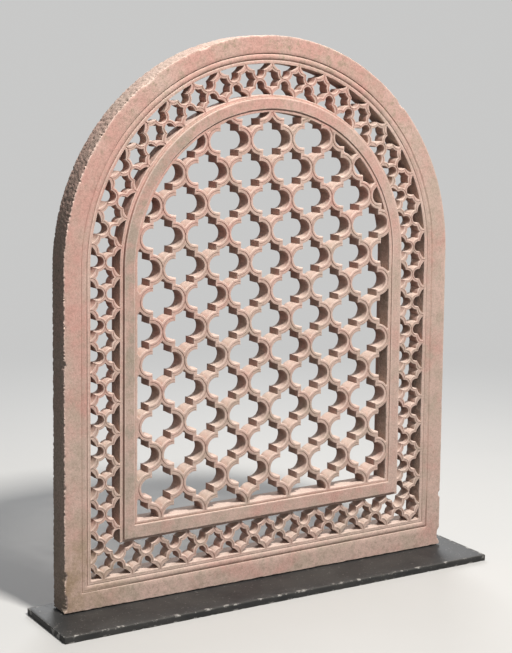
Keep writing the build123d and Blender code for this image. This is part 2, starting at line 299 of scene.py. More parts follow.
def borderPlaces():
    # run, place along and across it, and the opening's outline at a given growth
    b = borderLook
    half = b["opening"] / 2
    for run in (onSide, onLeft):
        for k in range(1, b["sidePitches"] + (run is onSide)):
            yield run, k * b["sidePitch"], 0, partial(starOutline, b["sidePitch"] / 2)
        for k in range(b["sidePitches"]):
            for across in (-half, half):
                yield run, (k + 0.5) * b["sidePitch"], across, nicheOutline
    for k in range(b["bottomPitches"] + 1):
        along = k * b["bottomPitch"] - b["centreRadius"]
        yield onBottom, along, 0, partial(starOutline, b["bottomPitch"] / 2)
        if k < b["bottomPitches"]:
            for across in (-half, half):
                yield onBottom, along + b["bottomPitch"] / 2, across, nicheOutline
    for end in (-1, 1):
        yield onBottom, end * (b["centreRadius"] + b["bottomPitch"] / 2), half, cornerOutline


def fieldPlaces():
    f = fieldLook
    rows = int((crownTop - f["side"] - f["rowZero"]) / f["rowPitch"]) + 2
    for row in range(rows):
        count = f["columns"] + 1 - row % 2
        for k in range(count):
            yield (k - (count - 1) / 2) * f["columnPitch"], f["rowZero"] + row * f["rowPitch"]


# Flat sheets of triangles
def flatTriangles(points, edges, merged):
    flat, _, faces, *_ = geometry.delaunay_2d_cdt([Vector(p) for p in points], edges, [], 0, merged, False)
    return np.array([tuple(p) for p in flat]), np.array(faces)


def triangulated(lines):
    points, edges = [], []
    for line, closed in lines:
        first, count = len(points), len(line)
        points.extend(line.tolist())
        edges.extend((first + k, first + k + 1) for k in range(count - 1))
        if closed:
            edges.append((first + count - 1, first))
    return flatTriangles(points, edges, 0.02)


def runsWhere(line, kept):
    # the stretches of a line whose points are kept
    breaks = np.flatnonzero(np.diff(np.concatenate([[0], kept.astype(int), [0]])))
    return [line[a:b] for a, b in zip(breaks[::2], breaks[1::2]) if b - a > 1]


def inPolygon(points, polygon):
    found = np.zeros(len(points), bool)
    low, high = polygon.min(0), polygon.max(0)
    near = np.flatnonzero(((points >= low) & (points <= high)).all(1))
    x, z = points[near, 0][:, None], points[near, 1][:, None]
    ax, az = polygon[:, 0], polygon[:, 1]
    bx, bz = np.roll(ax, -1), np.roll(az, -1)
    crosses = (az > z) != (bz > z)
    with np.errstate(divide="ignore", invalid="ignore"):
        left = x < (bx - ax) * (z - az) / (bz - az) + ax
    found[near] = (crosses & left).sum(1) % 2 == 1
    return found


def rimOf(triangles):
    # directed edges that only one triangle uses, with the stone on their left
    edges = triangles[:, [0, 1, 1, 2, 2, 0]].reshape(-1, 2)
    known = set(map(tuple, edges.tolist()))
    return np.array([e for e in edges.tolist() if (e[1], e[0]) not in known])


def distanceTo(points, starts, ends, spacing=0.6):
    # distance of each point from a set of short edges
    tree = []
    for a, b in zip(starts, ends):
        count = max(1, int(math.dist(a, b) / spacing))
        tree.extend(a + (b - a) * k / count for k in range(count))
    found = kdtree.KDTree(len(tree))
    for k, p in enumerate(tree):
        found.insert((p[0], p[1], 0), k)
    found.balance()
    return np.array([found.find((p[0], p[1], 0))[2] for p in points])


noises = {  # size, shift and weight of each
    "wave": ((55, 1.7, 1), (13, 4.1, 0.5), (4.5, 7.3, 0.22)),
    "arris": ((22, 5.5, 0.45), (6, 8.5, 0.25)),
    "tooling": ((11, 2.2, 1), (5, 6.1, 0.6)),
    "wanderAcross": ((46, 3.1, 1), (15, 9.7, 0.45)),
    "wanderUp": ((46, 21.3, 1), (15, 33.9, 0.45)),
}


def noiseAt(points, size, shift=0.0):
    # smooth noise over the plane, or down a wall where the points have a depth too
    scaled = points / size
    second = scaled[:, 1] if points.shape[1] > 2 else np.zeros(len(points))
    places = np.column_stack([scaled[:, 0] + shift, scaled[:, -1], second + shift])
    return np.array([noise.noise(Vector(p)) for p in places.tolist()])


def layered(points, kind, total=0.0):
    for size, shift, weight in noises[kind]:
        total = total + weight * noiseAt(points, size, shift)
    return total


def wander(sheet):
    # hand-carved outlines drift smoothly from the setting out, away from the moulding lines
    points = sheet["points"]
    drift = np.column_stack([layered(points, "wanderAcross"), layered(points, "wanderUp")])
    loose = smoothStep(np.minimum(sheet["fromOuter"], sheet["fromInner"]), 1, 14)
    sheet["plan"] += sheet["look"]["wander"] * drift * loose[:, None]


def smoothStep(values, low, high):
    t = np.clip((values - low) / (high - low), 0, 1)
    return t * t * (3 - 2 * t)


def footRise(points):
    # the mouldings along the foot aren't level; the outer edge and the upper part are true
    look = frameLook
    x, z = points[:, 0], points[:, 1]
    heights, rises = zip(*look["rise"])
    rise = look["lean"] * x + np.interp(z, heights, rises)
    low = 1 - smoothStep(z, *look["riseFades"])
    return rise * low * smoothStep(inside(points, 0, 0), *look["trueEdge"])


def settled(points):
    return points + np.column_stack([np.zeros(len(points)), footRise(points)])


def fieldCreep(points):
    # where a point of the regular field pattern was carved, before the rise of the foot
    f = fieldLook
    x, z = points[:, 0], points[:, 1]
    dx = f["shift"] - f["pinch"] * x * smoothStep(z, *f["pinchFrom"])
    return points + np.column_stack([dx, f["lean"] * x - footRise(points)])


def rounded(distance, radius):
    # depth of a worn arris at a distance from the edge
    gap = np.clip(radius - distance, 0, radius)
    return radius - np.sqrt(np.maximum(radius**2 - gap**2, 0))


def onRail(points, look):
    # which points lie on the plain edge of a rail
    found = np.zeros(len(points), bool)
    for step in (look["rail"], look["width"][0] - look["rail"]) if "rail" in look else ():
        found |= np.abs(inside(points, *inset(look, step))) < onLine
    return found


def makeSheet(look, lines, isStone):
    # a layer's front as a flat sheet of triangles, with its edges and the way out of each
    points, triangles = triangulated(lines)
    triangles = triangles[isStone(points[triangles].mean(1))]
    used, flat = np.unique(triangles, return_inverse=True)
    points, triangles = points[used], flat.reshape(-1, 3)
    edges = rimOf(triangles)
    starts, ends = points[edges.T]
    step = ends - starts
    square = np.column_stack([step[:, 1], -step[:, 0]]) / np.linalg.norm(step, axis=1)[:, None]
    out = np.zeros_like(points)
    np.add.at(out, edges[:, 0], square)
    np.add.at(out, edges[:, 1], square)
    out = 2 * out / np.maximum((out**2).sum(1), 1.2)[:, None]
    return {
        "points": points, "triangles": triangles, "isStone": isStone, "out": out,
        "fromEdge": distanceTo(points, starts, ends),
        "fromOuter": inside(points, *inset(look, 0)),
        "fromInner": -inside(points, *look["inner"]),
        "onRail": onRail(points, look),
        **{mark: np.zeros(len(points)) for mark in ("cavity", "chip", "dulled")},
        "plan": settled(points), "look": look,
    }


def wearFace(sheet, depth):
    # sets the front's depth: the given carving, a worn arris at every edge and a slight unevenness
    look, points, fromEdge = sheet["look"], sheet["points"], sheet["fromEdge"]
    arris = look["arris"] * layered(points, "arris", 1)
    uneven = np.abs(look["wave"] * layered(points, "wave")) * smoothStep(fromEdge, 0, 3)
    sheet["y"] = look["face"] + depth + rounded(fromEdge, arris) + uneven
    sheet["y"] += 0.6 * sheet["chip"] * (1 - smoothStep(sheet["fromOuter"], 0, 7))
    # this mark is a painted highlight along each worn arris
    sheet["worn"] = 1 - smoothStep(fromEdge, 0.3 * look["arris"], 1.6 * look["arris"])


def linked(name, data):
    holder = bpy.data.objects.new(name, data)
    bpy.context.scene.collection.objects.link(holder)
    return holder


def makePiece(name, vertices, faces, marks, sharpFrom, material):
    # an object from points in millimetres; the marks become attributes that its finish reads
    mesh = bpy.data.meshes.new(name)
    mesh.from_pydata((vertices * mm).tolist(), [], faces)
    for label, values in marks.items():
        mesh.attributes.new(label, "FLOAT", "POINT").data.foreach_set("value", np.array(values, np.float32))
    mesh.shade_smooth()
    mesh.set_sharp_from_angle(angle=math.radians(sharpFrom))
    mesh.materials.append(material)
    return linked(name, mesh)


tooling = {
    "depth": 4.2,  # of the tool marks on the outer walls
    "least": 0.35,
    "rail": 0.7,  # coarseness of a rail's wall; an outer wall has 1
    "chipDown": 0.2,  # share of the wall's depth that a chip reaches
    "backSpacing": 13.0,
    "backWave": (17, 3.3, 0.9),  # size, shift and depth
    "backCoarse": 0.5,
}


def carve(node, sheet, zone, walls, rough):
    # one piece of a layer: its share of the front, walls down every edge, and a back
    points, triangles = sheet["points"], sheet["triangles"]
    triangles = triangles[zone(points[triangles].mean(1))]
    used, flat = np.unique(triangles, return_inverse=True)
    triangles = flat.reshape(-1, 3)
    pick = {key: value[used] for key, value in sheet.items()
            if isinstance(value, np.ndarray) and key != "triangles"}
    rim, local = np.unique(rimOf(triangles), return_inverse=True)
    local = local.reshape(-1, 2)
    plan, out, frontY = pick["plan"][rim], pick["out"][rim], pick["y"][rim]
    atOuter, atInner = pick["fromOuter"][rim] < onLine, pick["fromInner"][rim] < onLine
    isFrame, back = sheet["look"] is frameLook, sheet["look"]["back"]
    flatWall = ~(out != 0).any(1) | atInner | (atOuter & (not isFrame))
    coarse = np.where(atOuter & isFrame, 1.0, np.where(pick["onRail"][rim], tooling["rail"], 0.0))
    wallPlan = np.where(atOuter[:, None], settled(pick["points"][rim]), plan)
    count, levels = len(used), walls(frontY, atOuter, atInner, back)
    xz, ys, reach = [pick["plan"]], [pick["y"]], [np.zeros(count)]
    faces, upper = triangles.tolist(), rim[local]
    for k, (y, shift, share) in enumerate(levels):
        tooled = layered(np.column_stack([plan, y]), "tooling")
        hewn = -tooling["depth"] * np.abs(tooled) - tooling["least"]
        tooled = np.where(flatWall, 0, rough * np.where(atOuter, hewn, tooled * (1 + coarse)))
        chipped = -pick["chip"][rim] * max(0, tooling["chipDown"] - share) * 5
        xz.append(wallPlan + out * (shift + tooled + np.where(atOuter, chipped, 0))[:, None])
        ys.append(y)
        reach.append(np.full(len(rim), share))
        lower = local + (count + k * len(rim))
        faces += np.column_stack([upper[:, 1], upper[:, 0], lower[:, 0], lower[:, 1]]).tolist()
        upper = lower
    # the back has its own coarse triangles
    rimPoints = pick["points"][rim]
    backPoints, backTriangles = backOf(rimPoints, local, sheet, zone)
    known = {tuple(p): k for k, p in enumerate(rimPoints.tolist())}
    place = [known.setdefault(tuple(p), len(known)) for p in backPoints.tolist()]
    extra = np.array(list(known)[len(rim):]).reshape(-1, 2)
    size, shift, depth = tooling["backWave"]
    xz.append(settled(extra))
    ys.append(back - depth * np.abs(noiseAt(extra, size, shift)))
    reach.append(np.ones(len(extra)))
    place = np.array(place) + (count + (len(levels) - 1) * len(rim))
    faces += place[backTriangles][:, ::-1].tolist()
    xz, ys = np.vstack(xz), np.concatenate(ys)
    behind = np.zeros(len(ys) - count)
    marks = {label: np.concatenate([pick[label], behind]) for label in ("worn", "cavity", "dulled")}
    marks["reach"] = np.concatenate(reach)
    marks["coarse"] = np.concatenate([np.zeros(count), np.tile(coarse, len(levels)),
                                      np.full(len(extra), tooling["backCoarse"])])
    vertices = np.column_stack([xz[:, 0], ys, xz[:, 1] + lift])
    piece = makePiece(node + "_stone", vertices, faces, marks, 44, stoneFinish)
    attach(piece, "root")
    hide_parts(node)
    return len(faces)


def carveLayer(label, sheet, zones, walls, rough=0.55):
    faces = [carve(node, sheet, zone, walls, rough) for node, zone in zones.items()]
    print(label, "carved:", sum(faces), "faces")


def backOf(rimPoints, edges, sheet, zone):
    low, high, spacing = rimPoints.min(0), rimPoints.max(0), tooling["backSpacing"]
    across, up = np.arange(low[0], high[0], spacing), np.arange(low[1], high[1], spacing)
    dots = np.array([(x + 3 * (k % 2), z) for k, z in enumerate(up) for x in across])
    dots = dots[sheet["isStone"](dots) & zone(dots)]
    dots = dots[distanceTo(dots, *rimPoints[edges.T], 2.0) > 4]
    flat, faces = flatTriangles(rimPoints.tolist() + dots.tolist(), edges.tolist(), 0.001)
    corners = flat[faces]
    middle = corners.mean(1)
    # slivers along a joint line would bridge the openings
    longest = np.linalg.norm(corners - np.roll(corners, 1, axis=1), axis=2).max(1)
    (ax, az), (bx, bz) = (corners[:, 1] - corners[:, 0]).T, (corners[:, 2] - corners[:, 0]).T
    sound = np.abs(ax * bz - az * bx) > longest * np.where(longest > 40, 1.0, 0.001)
    return flat, faces[sound & sheet["isStone"](middle) & zone(middle)]


# Walls: each level gives a depth, a step outwards and how far in it is from front to back
piercedSteps = [(0.05, 0), (0.2, 0.1), (0.4, 0.1), (0.6, 0.1), (0.8, 0), (0.97, 0), (1, -0.9)]


def piercedWalls(frontY, atOuter, atInner, back):
    return [(frontY + (back - frontY) * share, np.full(len(frontY), shift), share)
            for share, shift in piercedSteps]


def stepped(depths, seat, look):
    # the levels of an edge: down to the seat of the next layer, and on behind it
    above, below = depths
    return [(y, 0) for y in (*above, seat)] + [(y, look["lip"]) for y in (seat, *below, look["back"])]


def lippedWalls(outerSteps, innerSteps, shares):
    # outer and inner edges step out behind the neighbouring layer, which rests on that lip
    def walls(frontY, atOuter, atInner, back):
        levels = []
        for k, share in enumerate(shares):
            y, shift = frontY + (back - frontY) * share, np.zeros(len(frontY))
            for here, steps in ((atOuter, outerSteps), (atInner, innerSteps)):
                if steps:
                    y, shift = np.where(here, steps[k][0], y), np.where(here, steps[k][1], shift)
            levels.append((y, shift, share))
        return levels
    return walls


# Stones of a layer, as tests of where a point lies
def fromVertical(p):
    return np.degrees(np.abs(np.arctan2(p[:, 0], p[:, 1] - spring)))


def stonesOf(layer, inSill, crownAngle=0):
    def jamb(side, p):
        return (p[:, 1] < spring) & ~inSill(p) & (side * p[:, 0] > 0)

    def arch(side, p):
        return (p[:, 1] > spring) & (fromVertical(p) > crownAngle) & (side * p[:, 0] > 0)

    zones = {layer + "_sill": inSill}
    for kind, zone in (("_jamb", jamb), ("_arch", arch)):
        zones[layer + kind + "_right"], zones[layer + kind + "_left"] = partial(zone, 1), partial(zone, -1)
    if crownAngle:
        zones[layer + "_crown"] = lambda p: (p[:, 1] > spring) & (fromVertical(p) < crownAngle)
    return zones


class Wire:
    # a socket of a material; arithmetic on it adds Math nodes
    def __init__(self, finish, socket):
        self.finish, self.socket = finish, socket

    def math(self, operation, *values, clamp=False):
        settings = {"operation": operation, "use_clamp": clamp}
        return self.finish.add("Math", settings, dict(enumerate(values)))

    def __add__(self, other):
        return self.math("ADD", self, other)

    def __sub__(self, other):
        return self.math("SUBTRACT", self, other)

    def __rsub__(self, other):
        return self.math("SUBTRACT", other, self)

    def __mul__(self, other):
        return self.math("MULTIPLY", self, other)

    def held(self):
        # the same value kept between 0 and 1
        return self.math("ADD", self, 0.0, clamp=True)

    __radd__ = __add__
    __rmul__ = __mul__


class Finish:
    # a material, or the world, while its nodes are laid out
    def __init__(self, name, group="materials", shader="Principled BSDF", output="Material Output"):
        self.block = getattr(bpy.data, group).new(name)
        self.block.use_nodes = True
        self.tree = self.block.node_tree
        self.shader = self.tree.nodes[shader]
        self.output = self.tree.nodes[output]

    def add(self, kind, settings=None, inputs=None, output=0):
        node = self.tree.nodes.new("ShaderNode" + kind)
        for key, value in (settings or {}).items():
            if key == "stops":
                ramp = node.color_ramp.elements
                while len(ramp) < len(value):
                    ramp.new(0.5)
                for stop, (position, tone) in zip(ramp, value):
                    stop.position = position
                    stop.color = (tone, tone, tone, 1) if isinstance(tone, (int, float)) else (*tone, 1)
            else:
                setattr(node, key, value)
        self.feed(node, inputs or {})
        return Wire(self, node.outputs[output])

    def feed(self, node, inputs):
        for key, value in inputs.items():
            if isinstance(value, Wire):
                self.tree.links.new(value.socket, node.inputs[key])
            else:
                node.inputs[key].default_value = value

    def surface(self, **inputs):
        self.feed(self.shader, {key.replace("_", " "): value for key, value in inputs.items()})
        return self.block

    def cover(self, factor, first, second):
        # a mix of two shaders, also as the block's surface
        mixed = self.add("MixShader", {}, {0: factor, 1: first, 2: second})
        self.feed(self.output, {"Surface": mixed})
        return mixed

    def place(self):
        return self.add("TexCoord", output=3)

    def value(self, name):
        return self.add("Attribute", {"attribute_name": name}, output=2)

    def axis(self, vector, number):
        return self.add("SeparateXYZ", {}, {0: vector}, output=number)

    def ranged(self, value, low, high):
        # 0 at low and 1 at high
        return self.add("MapRange", {}, {0: value, 1: low, 2: high})

    def cloud(self, position, scale, detail=3.0, roughness=0.55):
        inputs = {"Vector": position, "Scale": scale, "Detail": detail, "Roughness": roughness}
        return self.add("TexNoise", {}, inputs)

    def ramp(self, factor, stops):
        return self.add("ValToRGB", {"stops": stops}, {"Fac": factor})

    def mix(self, factor, first, second, blend="MIX"):
        first, second = (c if isinstance(c, Wire) else (*c, 1) for c in (first, second))
        return self.add("Mix", {"data_type": "RGBA", "blend_type": blend},
                        {0: factor, 6: first, 7: second}, output=2)

    def coat(self, factor, tone, blend="MIX"):
        # a colour laid over what is there already
        self.colour = self.mix(factor, self.colour, tone, blend)

    def bump(self, height, strength, distance):
        return self.add("Bump", {}, {"Height": height, "Strength": strength, "Distance": distance})


sandstone = {
    "rose": (0.64, 0.37, 0.315), "pale": (0.66, 0.475, 0.405), "buff": (0.52, 0.415, 0.335),
    "grey": (0.4, 0.345, 0.285),  # rough, unpolished places
    "stain": (0.25, 0.2, 0.155), "lichen": (0.34, 0.295, 0.2), "earth": (0.36, 0.25, 0.15),
    # the shadowSoil tone is painted shade, and the pale arris tone is a painted highlight
    "worn": (0.88, 0.69, 0.6), "shadowSoil": (0.13, 0.055, 0.04),
    # the pale tone of surfaces that face up is painted light from above
    "paintedTopLight": (0.86, 0.7, 0.6),  # surfaces that face up
    "patchScale": 7, "mottleScale": 46, "pitScale": 165, "speckScale": 230, "grainScale": 420,
    "earthAt": (-0.60, 0.03, 0.10),
}


def sandstoneFinish():
    s = sandstone
    f = Finish("red_sandstone")
    place = f.place()
    patches = f.cloud(place, s["patchScale"], 4, 0.6)
    veins = f.cloud(place, 2.6 * s["patchScale"], 5, 0.65)
    grain = f.cloud(place, s["grainScale"], 2, 0.6)
    pitting = f.cloud(place, s["pitScale"], 4, 0.72)
    specks = f.cloud(place, s["speckScale"], 3, 0.7)
    height, across = f.axis(place, 2), f.axis(place, 0)
    # rosier towards the top and the left, paler and greyer towards the foot
    rosy = f.ranged(height - 0.6 * across, 0.6, 1.35)
    f.colour = f.mix(f.ramp(patches - 0.2 * rosy + 0.08, [(0.36, 0), (0.6, 1)]), s["rose"], s["pale"])
    f.coat(f.ramp(veins, [(0.45, 0), (0.66, 0.8)]) * (1 - 0.5 * rosy), s["buff"])
    # dark mottling, strongest at the foot, greyed places, lichen at the crown, and an earthy corner
    crown = f.ranged(height, 1.05, 1.45)
    foot = f.ranged(height, 0.16, 0.02)
    mottle = f.ramp(f.cloud(place, s["mottleScale"], 6, 0.75), [(0.5, 0), (0.66, 1)])
    f.coat(mottle * (0.16 + 0.3 * foot), s["stain"])
    dulled = f.value("dulled")
    greyed = dulled * (0.25 + 0.45 * f.ramp(veins, [(0.42, 0), (0.58, 1)]))
    f.coat(greyed, s["grey"])
    lichen = mottle * f.ramp(patches, [(0.42, 0.3), (0.56, 1)]) * (0.14 + 0.7 * crown + 0.35 * dulled)
    f.coat(lichen.held(), s["lichen"])
    away = f.add("VectorMath", {"operation": "DISTANCE"}, {0: place, 1: s["earthAt"]}, output=1)
    earthy = f.ranged(away, 0.2, 0.02)
    f.coat(earthy * f.ramp(veins, [(0.4, 0.15), (0.6, 0.75)]), s["earth"])
    f.coat(f.ramp(specks, [(0.6, 0), (0.74, 0.4)]), s["stain"])
    # painted highlight: the arrises are coloured paler, as is the broken outer edge of the frame
    f.coat(f.value("worn") * f.ramp(veins, [(0.3, 0.9), (0.7, 0.4)]), s["worn"])
    facing = f.add("NewGeometry", output=1)
    upward = f.axis(facing, 2)
    behind = f.ranged(f.axis(facing, 1), 0.5, 0.9)
    # painted light: surfaces that face up are coloured paler, as if lit from above
    paintedTopLight = f.ranged(upward, 0.3, 0.85)
    coarse = f.value("coarse") * (1 - paintedTopLight)
    f.coat(paintedTopLight * 0.55, s["paintedTopLight"])
    f.coat(coarse * f.ramp(pitting, [(0.35, 0.95), (0.65, 0.35)]), s["grey"])
    # painted shade: the cuts and the walls that face sideways or down are darkened, more deeply further
    # into the openings and less on coarse walls; up-facing surfaces get none, and the walls that face back
    # get little of it
    reach = f.value("reach")
    shadedFacing = f.ranged(upward, 0.45, -0.3)
    paintedShade = shadedFacing * f.ramp(reach, [(0.02, 0), (0.3, 0.48), (1, 0.68)]) * (1 - 0.7 * coarse)
    paintedShade = paintedShade * (1 - 0.85 * behind)
    f.coat((f.value("cavity") * 0.45 + paintedShade).held(), s["shadowSoil"])
    f.coat(0.55, f.ramp(grain, [(0.3, 0.66), (0.7, 1)]), "MULTIPLY")
    pits = f.ramp(pitting, [(0.36, 0.72), (0.56, 1)])
    f.coat(0.5 + 0.25 * coarse + 0.25 * crown, pits, "MULTIPLY")
    relief = grain * 0.3 + pitting * (1.3 + 1.2 * reach + 2.4 * coarse) + specks * 0.5
    return f.surface(Base_Color=f.colour, Roughness=0.8 + 0.18 * f.cloud(place, 60, 2),
                     Normal=f.bump(relief, 0.6, 0.0009), Specular_IOR_Level=0.25)


stoneFinish = sandstoneFinish()
print("sandstone ready")


# Outer frame
def frameChips(points):
    # how far the outer arris is broken back: toothed tool marks on the left, a few larger losses
    tooth = np.abs(noiseAt(points, 5.5, 12.4)) + 0.5 * np.abs(noiseAt(points, 2.6, 2.9))
    left = smoothStep(-points[:, 0], -250, 420)
    chip = (0.7 + 4.2 * left) * tooth
    chip += (1.0 + 4.0 * left) * smoothStep(noiseAt(points, 47, 17.7), 0.4, 0.7)
    for x, z, size, deep in frameLook["losses"]:
        away = np.hypot(*(points - (x, z)).T)
        chip += deep * (1 - smoothStep(away, 0.25 * size, size))
    return np.minimum(chip, frameLook["deepestChip"]) * (points[:, 1] > 4)


def frameSheet():
    look = frameLook
    edge, inner = inset(look, 0), look["inner"]
    lines = rings(inner, [-t for t, _ in look["section"]])
    lines += rings(edge, (0, 0.7), 3.0) + rings(edge, (2.2, 5.5, 10), 4.5) + rings(edge, (19, 29, 39), 9.0)
    for side in (-1, 1):
        lines += [levelCut(side, halfWidth - inner[0], halfWidth, z) for z in (inner[1], spring)]
        lines.append(archCut(math.radians(look["crownAngle"]) * side, halfWidth - inner[0], halfWidth))
    sheet = makeSheet(look, lines, lambda p: between(p, edge, inner))
    points, fromOuter, fromInner = sheet["points"], sheet["fromOuter"], sheet["fromInner"]
    x, z = points.T
    near = fromOuter < look["chipReach"]
    sheet["chip"][near] = frameChips(points[near])
    retreat = sheet["chip"] * (1 - smoothStep(fromOuter, 0, look["chipReach"]))
    sheet["plan"] -= outward(points) * retreat[:, None]
    depth = np.interp(fromInner, *zip(*look["section"]))
    # both grooves of the section are worn shallow along the right, and the fine one on the left jamb too
    fine = smoothStep(fromInner, 13.5, 15.4) * (1 - smoothStep(fromInner, 17.3, 18.6))
    faded = smoothStep(x, 240, 520) * smoothStep(z, 90, 200)
    depth -= 2.2 * faded * (1 - smoothStep(fromInner, 1.2, 3.5))
    faded += 0.6 * smoothStep(-x, 300, 520) * (1 - smoothStep(z, 850, 1050))
    depth -= 3.2 * fine * faded * (0.85 + 0.5 * noiseAt(points, 40, 8.8))
    # cavity marks where painted shade darkens the grooves
    sheet["cavity"] = smoothStep(depth, 2.2, 5.0)
    sheet["fromEdge"] = np.where(fromInner < 20, 20, sheet["fromEdge"])
    wearFace(sheet, depth)
    # broken places of the outer edge get the paler painted highlight too
    broken = smoothStep(sheet["chip"], 1.6, 4.0) * (1 - smoothStep(fromOuter, 2, 7))
    sheet["worn"] = np.maximum(sheet["worn"], broken)
    return sheet


shares = (0.03, 0.07, 0.13, 0.20, 0.28, 0.36, 0.44, 0.52, 0.60, 0.68, 0.76, 0.84, 0.91, 0.97, 1.0)
frameWalls = lippedWalls(None, stepped(frameLook["innerDepths"], borderLook["back"], frameLook), shares)
frameStones = stonesOf("frame", lambda p: p[:, 1] < frameLook["inner"][1], frameLook["crownAngle"])
carveLayer("frame", frameSheet(), frameStones, frameWalls, 0.8)


# Pierced layers
def betweenRails(p, look, spare=0):
    step = look["rail"] - spare
    return between(p, inset(look, step), inset(look, look["width"][0] - step))


def voidTest(openings, look):
    def isVoid(p):
        found = np.zeros(len(p), bool)
        for opening in openings:
            found |= inPolygon(p, opening)
        return found & betweenRails(p, look)
    return isVoid


def rimLines(line, look):
    # an opening's outline, closed, where it runs between the rails
    line = np.vstack([line, line[:1]])
    return [(part, False) for part in runsWhere(line, betweenRails(line, look, 2))]


def addGroove(lines, grooves, run, centre, radius, step, look, isVoid):
    # the middle and both sides of a ring cut into the ribs, where it crosses stone
    for away in (-look["groove"][0], 0, look["groove"][0]):
        line = run(arc(centre, radius + away, 0, 2 * math.pi, step))
        parts = runsWhere(line, betweenRails(line, look, 2) & ~isVoid(line))
        lines += [(part, False) for part in parts]
        if not away:
            grooves += parts


def grooveDepth(sheet, lines):
    # depth of the cut line along the ribs
    wide, deep = sheet["look"]["groove"]
    starts, ends = np.vstack([line[:-1] for line in lines]), np.vstack([line[1:] for line in lines])
    away = distanceTo(sheet["points"], starts, ends)
    cut = deep * (1 - np.clip(away / wide, 0, 1) ** 2)
    cut *= smoothStep(sheet["fromEdge"], 0, 1.2)
    # cavity marks where painted shade darkens the groove
    sheet["cavity"] = np.clip(cut / deep, 0, 1)
    return cut


def borderSheet():
    look = borderLook
    rail, width, offset = look["rail"], look["width"][0], look["lobeOffset"]
    places = list(borderPlaces())
    openings = [run(outline(0) + (along, across)) for run, along, across, outline in places]
    isVoid = voidTest(openings, look)
    lines = rings(inset(look, 0), (0, 0.8, 5, width - 5, width - 0.8, width))
    for t in look["arrisLines"]:
        lines += rings(inset(look, rail), (-t,), 5.0) + rings(inset(look, width - rail), (t,), 5.0)
    for run, along, across, outline in places:
        for grow in look["arrisLines"]:
            lines += rimLines(run(outline(grow) + (along, across)), look)
    grooves = []
    radius = look["lobeRadius"] + look["rib"] / 2 - 0.4
    for run, along, across, outline in places:
        if outline in (nicheOutline, cornerOutline):
            for dx, dz in ((1, 0), (-1, 0), (0, 1), (0, -1)):
                centre = (along + dx * offset, across + dz * offset)
                if abs(centre[1]) < look["opening"] / 2 + 1:
                    addGroove(lines, grooves, run, centre, radius, 2.6, look, isVoid)
    outerX, joint, top = halfWidth - look["side"], look["joint"], look["foot"] + width
    innerX = outerX - width
    steps = (outerX + 1, joint), (innerX + rail, joint), (innerX + rail, top), (innerX - 1, top)
    for side in (-1, 1):
        lines += [cut(*((side * x, z) for x, z in steps)), levelCut(side, innerX, outerX, spring),
                  archCut(side * look["crownLean"], innerX, outerX)]
    sheet = makeSheet(look, lines, lambda p: between(p, inset(look, 0), look["inner"]) & ~isVoid(p))
    wearFace(sheet, grooveDepth(sheet, grooves))
    wander(sheet)
    return sheet


def inBorderSill(p):
    # it ends half a pitch up the sides, and takes in the whole rail under the liner
    reachX = halfWidth - borderLook["side"] - borderLook["width"][0] + borderLook["rail"]
    return (p[:, 1] < borderLook["joint"]) | ((np.abs(p[:, 0]) < reachX) & (p[:, 1] < linerLook["foot"]))


borderStones = stonesOf("border", inBorderSill, math.degrees(borderLook["crownLean"]))
carveLayer("border", borderSheet(), borderStones, piercedWalls)


# Raised liner
def linerSheet():
    look = linerLook
    edge, inner = inset(look, 0), look["inner"]
    outerX, innerX = halfWidth - edge[0], halfWidth - inner[0]
    lines = rings(edge, look["arrisLines"]) + rings(inner, [-t for t in (*look["arrisLines"], 14)])
    for side in (-1, 1):
        lines += [levelCut(side, innerX, outerX, z) for z in (inner[1], spring)]
    lines.append(cut((0, crownTop - inner[0] - 1), (0, crownTop - edge[0] + 1)))
    sheet = makeSheet(look, lines, lambda p: between(p, edge, inner))
    wearFace(sheet, np.zeros(len(sheet["points"])))
    # the left of the band has greyed
    x, z = sheet["points"].T
    sheet["dulled"] = smoothStep(-x, 60, 330) * (0.55 + 0.45 * smoothStep(z, 150, 420))
    return sheet


linerWalls = lippedWalls(stepped(linerLook["outerDepths"], borderLook["back"], linerLook),
                         stepped(linerLook["innerDepths"], fieldLook["back"], linerLook),
                         (0.05, 0.15, 0.4, 0.6, 0.8, 0.9, 1.0))
carveLayer("liner", linerSheet(), stonesOf("liner", lambda p: p[:, 1] < fieldLook["foot"]), linerWalls)


# Field
def fieldSheet():
    look = fieldLook
    edge, middle = inset(look, 0), look["columnPitch"] / 4
    places = list(fieldPlaces())
    isVoid = voidTest([fieldCreep(pairOutline(0) + place) for place in places], look)
    lines = rings(edge, (0, 0.8, 2.5, 5))
    lines += rings(inset(look, look["rail"]), [-t for t in look["arrisLines"]], 5.0)
    grooves = []
    for x, z in places:
        for grow in look["arrisLines"]:
            lines += rimLines(fieldCreep(pairOutline(grow) + (x, z)), look)
        for centre in (-middle, middle):
            addGroove(lines, grooves, fieldCreep, (x + centre, z), middle, 3.0, look, isVoid)
    reach = halfWidth - look["side"] + 1
    lines += [cut((-reach, z), (reach, z)) for z in fieldJoints]
    sheet = makeSheet(look, lines, lambda p: (inside(p, *edge) > 0) & ~isVoid(p))
    depth = grooveDepth(sheet, grooves)
    # the quirk beside the liner, shallow on the right
    shallow = 1 - 0.8 * smoothStep(sheet["points"][:, 0], 80, 380)
    depth += look["quirk"] * (1 - smoothStep(sheet["fromOuter"], 0.3, 2.2)) * shallow
    wearFace(sheet, depth)
    wander(sheet)
    return sheet


fieldJoints = [fieldLook["rowZero"] + row * fieldLook["rowPitch"] for row in fieldLook["jointRows"]]
carveLayer("field", fieldSheet(), {
    "field_panel_lower": lambda p: p[:, 1] < fieldJoints[0],
    "field_panel_middle": lambda p: (p[:, 1] > fieldJoints[0]) & (p[:, 1] < fieldJoints[1]),
    "field_panel_upper": lambda p: p[:, 1] > fieldJoints[1],
}, piercedWalls)


